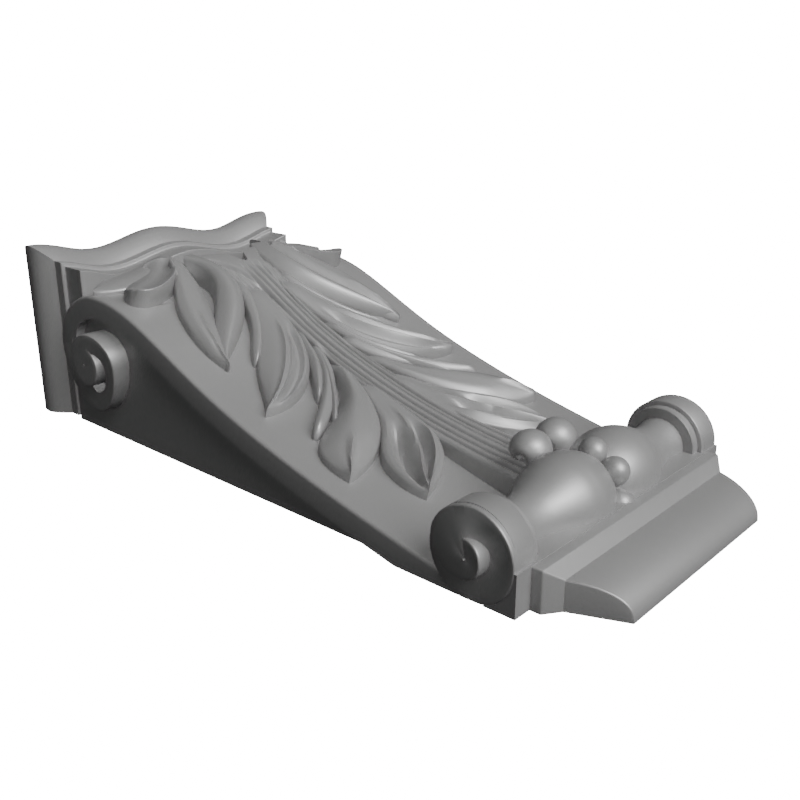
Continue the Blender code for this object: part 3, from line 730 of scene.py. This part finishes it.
step_stops = (
    (STEP_INNER, STEP_RADIUS - STEP_ARRIS),
    (STEP_INNER + STEP_ARRIS, STEP_RADIUS),
    (ROLL_REACH, STEP_RADIUS),
)
disc_stops = [(DISC_INNER + inward, DISC_RADIUS - sunk) for inward, sunk in DISC_ARRIS]
disc_stops.append((SCROLL_HALF - DISC_IN, DISC_RADIUS))
roll_stops = [(a, roll_radius(a)) for a in np.linspace(-ROLL_REACH, ROLL_REACH, ROLL_ROWS)]
body.append(lathe("roll", roll_stops))
for side in (-1, 1):
    body.append(lathe("step", [(side * a, radius) for a, radius in step_stops]))
    body.append(lathe("disc", [(side * a, radius) for a, radius in disc_stops], DISC_SIDES))
    body.append(rolled_tip(side * CURL_ACROSS))
for angle in BEAD_ANGLES:
    turn = radians(angle)
    centre = (ROLL_DROP + BEAD_CIRCLE * sin(turn), 0.0, ROLL_OUT + BEAD_CIRCLE * cos(turn))
    body.append(ball("bead", centre, BEAD_RADIUS))

# Side scrolls
# The strap's edge ends in a scroll at the top of each side and a smaller one at the foot, carved
# proud of the side panels.  Their angles turn from straight down the bracket outward from the wall.
TOP_SCROLL = (27.2, 37.5)
TOP_TURN = (
    (90, 30.0), (140, 30.0), (165, 29.0), (180, 27.6), (200, 25.5), (220, 24.7), (260, 24.5), (300, 23.6),
    (331, 22.2), (357, 22.6), (372, 23.2), (385, 22.6), (402, 20.6), (426, 17.4), (463, 14.2), (503, 12.4),
    (531, 11.0), (630, 10.8), (680, 10.8), (720, 11.0), (757, 9.9), (830, 9.9),
)
TOP_INNER_EDGE = (
    (90, 23.3), (106, 21.5), (122, 20.1), (140, 18.0), (155, 15.0), (175, 11.0), (230, 9.0), (262, 11.0),
    (280, 14.2), (300, 15.0), (351, 15.2), (379, 14.2), (395, 11.5), (408, 8.8), (430, 4.0), (455, 0.4),
    (830, 0.4),
)
TOP_LEVEL = (
    (90, SCROLL_HALF - 0.1), (140, SCROLL_HALF - 0.1), (185, SCROLL_HALF), (230, 76.3), (270, 77.2),
    (320, 78.4), (360, 79.5), (385, 80.4), (405, 81.0), (430, 81.3), (830, 81.3),
)
TOP_PARTS = ((92, 470), (468, 829))
FOOT_TURN = (
    (-72, 18.4), (80, 18.4), (100, 18.4), (130, 18.6), (160, 18.4), (180, 17.2), (205, 13.9), (225, 11.7),
    (245, 9.5), (280, 7.8), (330, 7.4), (400, 7.4), (440, 7.4), (470, 7.4),
)
FOOT_RIM = (
    (-72, 75.5), (-40, 75.7), (40, 75.8), (130, 75.9), (180, 76.8), (225, 78.2), (270, 79.4), (360, 80.2),
    (400, 79.8), (440, 79.0), (470, 78.4),
)
FOOT_MIDDLE = ((-72, 75.3), (-20, 74.4), (20, 73.6), (60, 75.6), (100, 78.6), (140, 79.0), (470, 79.0))
FOOT_EYE = ((-60, 0.5), (470, 0.5))
FOOT_INNER_EDGE = ((-60, 5.0), (470, 5.0))
PLAIN_TURN = ((100, 18.4), (300, 18.4))
PLAIN_RIM = ((100, 75.8), (250, 75.8), (290, 75.4))
FOOT_PARTS = (
    ("foot dish", FOOT_TURN, FOOT_INNER_EDGE, FOOT_RIM, FOOT_MIDDLE, -72, 101),
    ("foot rim", PLAIN_TURN, FOOT_INNER_EDGE, PLAIN_RIM, PLAIN_RIM, 100, 290),
    ("foot scroll", FOOT_TURN, FOOT_EYE, FOOT_RIM, FOOT_MIDDLE, 100, 461),
)
SCROLL_ROOT = PANEL_HALF - 6.0
SCROLL_PEAK = 81.3
SCROLL_LEAST = 0.4
SCROLL_STEP = 3.0
SCROLL_DISH = 1.5
FACE_SHARES = (0.0, 0.2, 0.4, 0.6, 0.8)
ARRIS = ((0.7, 0.0), (0.35, 0.1), (0.1, 0.35), (0.0, 0.7))


def scroll(name, side, centre, outer, inner, rim, middle, first, last):
    """Part of a scroll: a strip that winds from one angle to another, with a rounded outer arris.

    Its face goes from the middle level near the centre to the rim level at its outer edge.
    """
    rings = []
    for angle in np.linspace(first, last, round((last - first) / SCROLL_STEP) + 1):
        far, near, high, low = (through(stops, angle) for stops in (outer, inner, rim, middle))
        near = max(near, SCROLL_LEAST)
        high = min(high, SCROLL_PEAK)
        low = min(low, SCROLL_PEAK)
        shape = []
        for share in FACE_SHARES:
            radius = mix(near, far - ARRIS[0][0], share)
            shape.append((radius, mix(low, high, (radius / far) ** SCROLL_DISH)))
        shape += [(far - inward, high - sunk) for inward, sunk in ARRIS]
        shape += [(far, SCROLL_ROOT), (near, SCROLL_ROOT)]
        way_drop, way_out = cos(radians(angle)), sin(radians(angle))
        rings.append([place(centre[0] + r * way_drop, side * h, centre[1] + r * way_out) for r, h in shape])
    return loft(name, rings)


for side in (-1, 1):
    for first, last in TOP_PARTS:
        top = (TOP_TURN, TOP_INNER_EDGE, TOP_LEVEL, TOP_LEVEL, first, last)
        body.append(scroll("top scroll", side, TOP_SCROLL, *top))
    for name, outer, inner, rim, middle, first, last in FOOT_PARTS:
        body.append(scroll(name, side, FOOT_SCROLL, outer, inner, rim, middle, first, last))

# The whole bracket
# All of it is one block of wood, sealed and sprayed with satin grey primer.  The back is sawn
# flat, so that it can be glued or screwed to a wall.
SAW_HALF = 1.5 * SCROLL_HALF
SAW_TOP = -60.0
SAW_FOOT = 340.0
CREASE = 30.0
CARVED_CREASE = 48.0
PRIMER_DARK = (0.225, 0.225, 0.225, 1.0)
PRIMER_PALE = (0.24, 0.24, 0.24, 1.0)
CLOUD_SCALE = 18.0
CLOUD_DETAIL = 3.0
CLOUD_LOW = 0.3
CLOUD_HIGH = 0.7
GRAIN_SCALE = 900.0
GRAIN_STRENGTH = 0.06
GRAIN_DEPTH = 0.0002
SHEEN_SMOOTH = 0.42
SHEEN_ROUGH = 0.48
COAT_SHINE = 1.0
COAT_BEND = 1.8


def combine(base, tools, how):
    """Join solids to the base, or cut them from it, in one step."""
    group = bpy.data.collections.new(how)
    for tool in tools:
        group.objects.link(tool)
    change = base.modifiers.new(how, "BOOLEAN")
    change.operation = how
    change.solver = "MANIFOLD"
    change.operand_type = "COLLECTION"
    change.collection = group
    shape = base.evaluated_get(bpy.context.evaluated_depsgraph_get())
    result = bpy.data.meshes.new_from_object(shape)
    base.modifiers.clear()
    base.data = result
    for tool in tools:
        bpy.data.objects.remove(tool)
    bpy.data.collections.remove(group)


bracket = strap
bracket.name = "bracket"
combine(bracket, body[1:], "UNION")
saw_ring = ((-SAW_HALF, SAW_TOP), (SAW_HALF, SAW_TOP), (SAW_HALF, SAW_FOOT), (-SAW_HALF, SAW_FOOT))
saw = loft("saw", [[place(drop, across, out) for across, drop in saw_ring] for out in (-2.0 * BURIED, 0.0)])
combine(bracket, [saw], "DIFFERENCE")

work = bmesh.new()
work.from_mesh(bracket.data)
for edge in work.edges:
    carved = all(face.material_index == 1 for face in edge.link_faces)
    edge.smooth = edge.calc_face_angle(0.0) < radians(CARVED_CREASE if carved else CREASE)
for face in work.faces:
    face.material_index = 0
    face.smooth = True
work.to_mesh(bracket.data)
work.free()

primer = bpy.data.materials.new("satin grey primer")
primer.use_nodes = True
nodes, links = primer.node_tree.nodes, primer.node_tree.links
shader = nodes["Principled BSDF"]
shader.inputs["Specular IOR Level"].default_value = COAT_SHINE
shader.inputs["IOR"].default_value = COAT_BEND
place_of = nodes.new("ShaderNodeTexCoord")
cloud = nodes.new("ShaderNodeTexNoise")
cloud.inputs["Scale"].default_value = CLOUD_SCALE
cloud.inputs["Detail"].default_value = CLOUD_DETAIL
tone = nodes.new("ShaderNodeValToRGB")
dark, light = tone.color_ramp.elements
dark.position = CLOUD_LOW
dark.color = PRIMER_DARK
light.position = CLOUD_HIGH
light.color = PRIMER_PALE
grain = nodes.new("ShaderNodeTexNoise")
grain.inputs["Scale"].default_value = GRAIN_SCALE
sheen = nodes.new("ShaderNodeMapRange")
sheen.inputs["To Min"].default_value = SHEEN_SMOOTH
sheen.inputs["To Max"].default_value = SHEEN_ROUGH
relief = nodes.new("ShaderNodeBump")
relief.inputs["Strength"].default_value = GRAIN_STRENGTH
relief.inputs["Distance"].default_value = GRAIN_DEPTH
links.new(place_of.outputs["Object"], cloud.inputs["Vector"])
links.new(place_of.outputs["Object"], grain.inputs["Vector"])
links.new(cloud.outputs["Fac"], tone.inputs["Fac"])
links.new(tone.outputs["Color"], shader.inputs["Base Color"])
links.new(grain.outputs["Fac"], sheen.inputs["Value"])
links.new(sheen.outputs["Result"], shader.inputs["Roughness"])
links.new(grain.outputs["Fac"], relief.inputs["Height"])
links.new(relief.outputs["Normal"], shader.inputs["Normal"])
bracket.data.materials.clear()
bracket.data.materials.append(primer)
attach(bracket, "root")
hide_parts("carved_bracket")

# Table, lights and camera
# The bracket lies on its back on a pale glowing table, seen from its foot end.  A soft light and a
# bright one shine from over the foot, a weak one from the left and one from behind to the camera.
TABLE_HALF = 3.0
TABLE_BEHIND = 0.001
WHITE = (1.0, 1.0, 1.0, 1.0)
PALE_STRENGTH = 20.0
FILL_STRENGTH = 0.04
SENSOR_WIDTH = 36.0
LENS = 43.456
CAMERA_SPOT = (-0.31005, -0.17959, -0.29561)
RIGHT = Vector((0.6666, -0.0020, -0.7454))
UP = Vector((0.2517, -0.9407, 0.2276))
FORWARD = Vector((0.7016, 0.3393, 0.6266))
LIGHTS = (
    ("soft light", 2.8, 50.0, True, (0.02, -0.69, -0.72)),
    ("side light", 0.25, 30.0, False, (-0.85, -0.35, -0.40)),
    ("bright light", 1.7, 8.0, False, (0.0, -0.69, -0.72)),
    ("back light", 2.5, 12.0, True, FORWARD),
)

table_mesh = bpy.data.meshes.new("pale table")
corners = ((-1, -1), (1, -1), (1, 1), (-1, 1))
table_spots = [(x * TABLE_HALF, TABLE_BEHIND, z * TABLE_HALF) for x, z in corners]
table_mesh.from_pydata(table_spots, [], [(0, 1, 2, 3)])
table = bpy.data.objects.new("pale table", table_mesh)
bpy.context.scene.collection.objects.link(table)
pale = bpy.data.materials.new("pale table")
pale.use_nodes = True
nodes, links = pale.node_tree.nodes, pale.node_tree.links
nodes.clear()
glow = nodes.new("ShaderNodeEmission")
glow.inputs["Strength"].default_value = PALE_STRENGTH
glow.inputs["Color"].default_value = WHITE
clear = nodes.new("ShaderNodeBsdfTransparent")
side_of = nodes.new("ShaderNodeNewGeometry")
blend = nodes.new("ShaderNodeMixShader")
end = nodes.new("ShaderNodeOutputMaterial")
links.new(side_of.outputs["Backfacing"], blend.inputs["Fac"])
links.new(glow.outputs["Emission"], blend.inputs[1])
links.new(clear.outputs["BSDF"], blend.inputs[2])
links.new(blend.outputs["Shader"], end.inputs["Surface"])
table_mesh.materials.append(pale)
table.visible_diffuse = False
table.visible_glossy = False
table.visible_shadow = False

camera_data = bpy.data.cameras.new("camera")
camera_data.sensor_width = SENSOR_WIDTH
camera_data.lens = LENS
camera = bpy.data.objects.new("camera", camera_data)
bpy.context.scene.collection.objects.link(camera)
turned = Matrix((RIGHT, UP, -FORWARD)).transposed().to_4x4()
turned.translation = Vector(CAMERA_SPOT)
camera.matrix_world = turned
bpy.context.scene.camera = camera

for name, strength, spread, shadow, way in LIGHTS:
    lamp_data = bpy.data.lights.new(name, "SUN")
    lamp_data.energy = strength
    lamp_data.angle = radians(spread)
    lamp_data.use_shadow = shadow
    lamp = bpy.data.objects.new(name, lamp_data)
    lamp.rotation_mode = "QUATERNION"
    lamp.rotation_quaternion = Vector(way).to_track_quat("Z", "Y")
    bpy.context.scene.collection.objects.link(lamp)

room = bpy.data.worlds.new("pale room")
bpy.context.scene.world = room
room.use_nodes = True
nodes, links = room.node_tree.nodes, room.node_tree.links
nodes.clear()
seen = nodes.new("ShaderNodeBackground")
seen.inputs["Strength"].default_value = PALE_STRENGTH
seen.inputs["Color"].default_value = WHITE
fill = nodes.new("ShaderNodeBackground")
fill.inputs["Strength"].default_value = FILL_STRENGTH
fill.inputs["Color"].default_value = WHITE
ray = nodes.new("ShaderNodeLightPath")
blend = nodes.new("ShaderNodeMixShader")
end = nodes.new("ShaderNodeOutputWorld")
links.new(ray.outputs["Is Camera Ray"], blend.inputs["Fac"])
links.new(fill.outputs["Background"], blend.inputs[1])
links.new(seen.outputs["Background"], blend.inputs[2])
links.new(blend.outputs["Shader"], end.inputs["Surface"])
